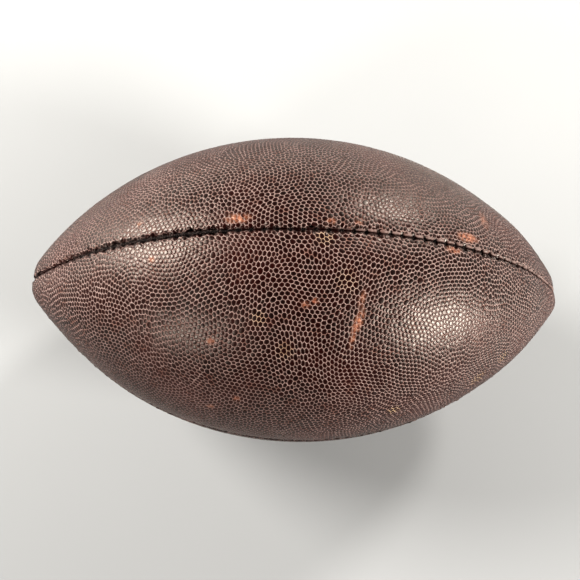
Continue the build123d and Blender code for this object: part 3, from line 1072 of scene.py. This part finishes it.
rng = np.random.default_rng(7)
for name, seam, first, last in (
    ("front", FRONT, -SEAM_REACH, SEAM_REACH),
    ("top", TOP, -SEAM_REACH, SEAM_REACH),
    ("bottom", BOTTOM, -SEAM_REACH, SEAM_REACH),
    ("back_left", BACK, -SEAM_REACH, -LACE_OPENING),
    ("back_right", BACK, LACE_OPENING, SEAM_REACH),
):
    mesh = seam_thread(seam, first, last, rng, "thread_" + name)
    piece(mesh, "thread_" + name, "thread", thread, "seam_thread_" + name)

piece(lacing(rng), "lace_straps", "lace", lace_material(), "lace")

canvas = canvas_material("canvas_lining", (0.62, 0.58, 0.49), (0.40, 0.36, 0.29), 260.0)
facing = hide_material("split_leather", (0.20, 0.105, 0.055), (0.11, 0.055, 0.03), 0.85)
tongue = hide_material("smooth_split_leather", (0.17, 0.085, 0.045), (0.10, 0.05, 0.028), 0.6)
butyl = rubber_material("moulded_butyl", (0.030, 0.030, 0.032), (0.012, 0.012, 0.014), 0.45)
patch = canvas_material("rubberised_canvas", (0.36, 0.32, 0.25), (0.22, 0.19, 0.15), 330.0)
stem = rubber_material("valve_rubber", (0.020, 0.019, 0.019), (0.008, 0.008, 0.009), 0.38)
for index, label in enumerate(PANELS):
    mesh = lining_mesh(index, "canvas_" + label)
    piece(mesh, "canvas_" + label, "lining", canvas, "lining_" + label)

# The CAD's own pieces that stay in sight, by the start of their names
DRESS = {
    "lace_facing_": facing,
    "lace_guard": tongue,
    "bladder": butyl,
    "valve_patch": patch,
    "valve_body": stem,
}
for name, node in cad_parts.items():
    for start, material in DRESS.items():
        if name.startswith(start):
            node.data.materials.clear()
            node.data.materials.append(material)


# ---------------- the stage


def stage():
    """The pale sheet the ball lies on."""
    z, reach = cad_box[0][2], 1.6
    corners = [(-reach, -reach, z), (reach, -reach, z), (reach, reach, z), (-reach, reach, z)]
    mesh = bpy.data.meshes.new("sheet")
    mesh.from_pydata(corners, [], [(0, 1, 2, 3)])
    obj = bpy.data.objects.new("sheet", mesh)
    scene.collection.objects.link(obj)
    mesh.materials.append(floor_material())


def area_light(name, azimuth, elevation, distance, size, power):
    """A soft warm light aimed at the ball, azimuth from -Y towards +X, elevation from level."""
    a, e = math.radians(azimuth), math.radians(elevation)
    place = Vector((math.sin(a) * math.cos(e), -math.cos(a) * math.cos(e), math.sin(e))) * distance
    data = bpy.data.lights.new(name, "AREA")
    data.shape = "DISK"
    data.size = size
    data.energy = power
    data.color = (1.0, 0.955, 0.90)
    obj = bpy.data.objects.new(name, data)
    obj.location = place
    obj.rotation_euler = place.to_track_quat("Z", "Y").to_euler()
    scene.collection.objects.link(obj)


def camera():
    """The photograph's camera: above the ball, a little to its left, looking steeply down."""
    distance, aside = 2.4 * HALF_LENGTH * MM, 0.2043 * HALF_LENGTH * MM
    elevation, pan, tilt, roll = QUARTER - 0.3330, 0.0705, 0.0003, 0.0243
    outward = Vector((0, -math.cos(elevation), math.sin(elevation)))
    up = Vector((0, math.sin(elevation), math.cos(elevation)))
    forward = Matrix.Rotation(-pan, 3, up) @ -outward
    right = forward.cross(up)
    forward = Matrix.Rotation(-tilt, 3, right) @ forward
    up = Matrix.Rotation(-roll, 3, forward) @ right.cross(forward)
    right = forward.cross(up)
    data = bpy.data.cameras.new("camera")
    data.sensor_width = SENSOR
    data.lens = SENSOR * FOCAL_LENGTH / FRAME_WIDTH
    data.clip_start = 0.01
    obj = bpy.data.objects.new("camera", data)
    turn = Matrix((right, up, -forward)).transposed().to_4x4()
    obj.matrix_world = Matrix.Translation(outward * distance - Vector((aside, 0, 0))) @ turn
    scene.collection.objects.link(obj)
    scene.camera = obj


def surroundings():
    """Pale walls near the horizon, a darker room overhead, and more light from behind the ball."""
    world = bpy.data.worlds.new("room")
    world.use_nodes = True
    scene.world = world
    tree = world.node_tree
    where = tree.nodes.new("ShaderNodeTexCoord")
    split = tree.nodes.new("ShaderNodeSeparateXYZ")
    ramp = tree.nodes.new("ShaderNodeValToRGB")
    tree.links.new(where.outputs["Generated"], split.inputs[0])
    tree.links.new(split.outputs["Z"], ramp.inputs[0])
    tree.links.new(ramp.outputs[0], tree.nodes["Background"].inputs[0])
    behind = tree.nodes.new("ShaderNodeMapRange")
    tree.links.new(split.outputs["Y"], behind.inputs["Value"])
    for key, value in (("From Min", -0.2), ("From Max", 0.65), ("To Min", 0.12), ("To Max", 2.9)):
        behind.inputs[key].default_value = value
    tree.links.new(behind.outputs["Result"], tree.nodes["Background"].inputs[1])
    stops = ramp.color_ramp.elements
    stops[0].position, stops[0].color = 0.0, (1.0, 0.94, 0.87, 1)
    stops[1].position, stops[1].color = 0.5, (0.004, 0.004, 0.004, 1)
    for at, level in ((0.14, 0.66), (0.32, 0.11)):
        stop = stops.new(at)
        stop.color = (level, 0.94 * level, 0.88 * level, 1)


stage()
camera()
surroundings()
area_light("upper_left", -111, 33, 1.39, 0.62, 27.0)
area_light("upper_right", 140, 38, 1.37, 0.27, 11.2)
area_light("lower_left", -43, 25, 1.39, 0.27, 7.2)
area_light("lower_right", 61, 23, 1.39, 0.54, 27.0)
scene.view_settings.view_transform = "Standard"
scene.view_settings.look = "High Contrast"
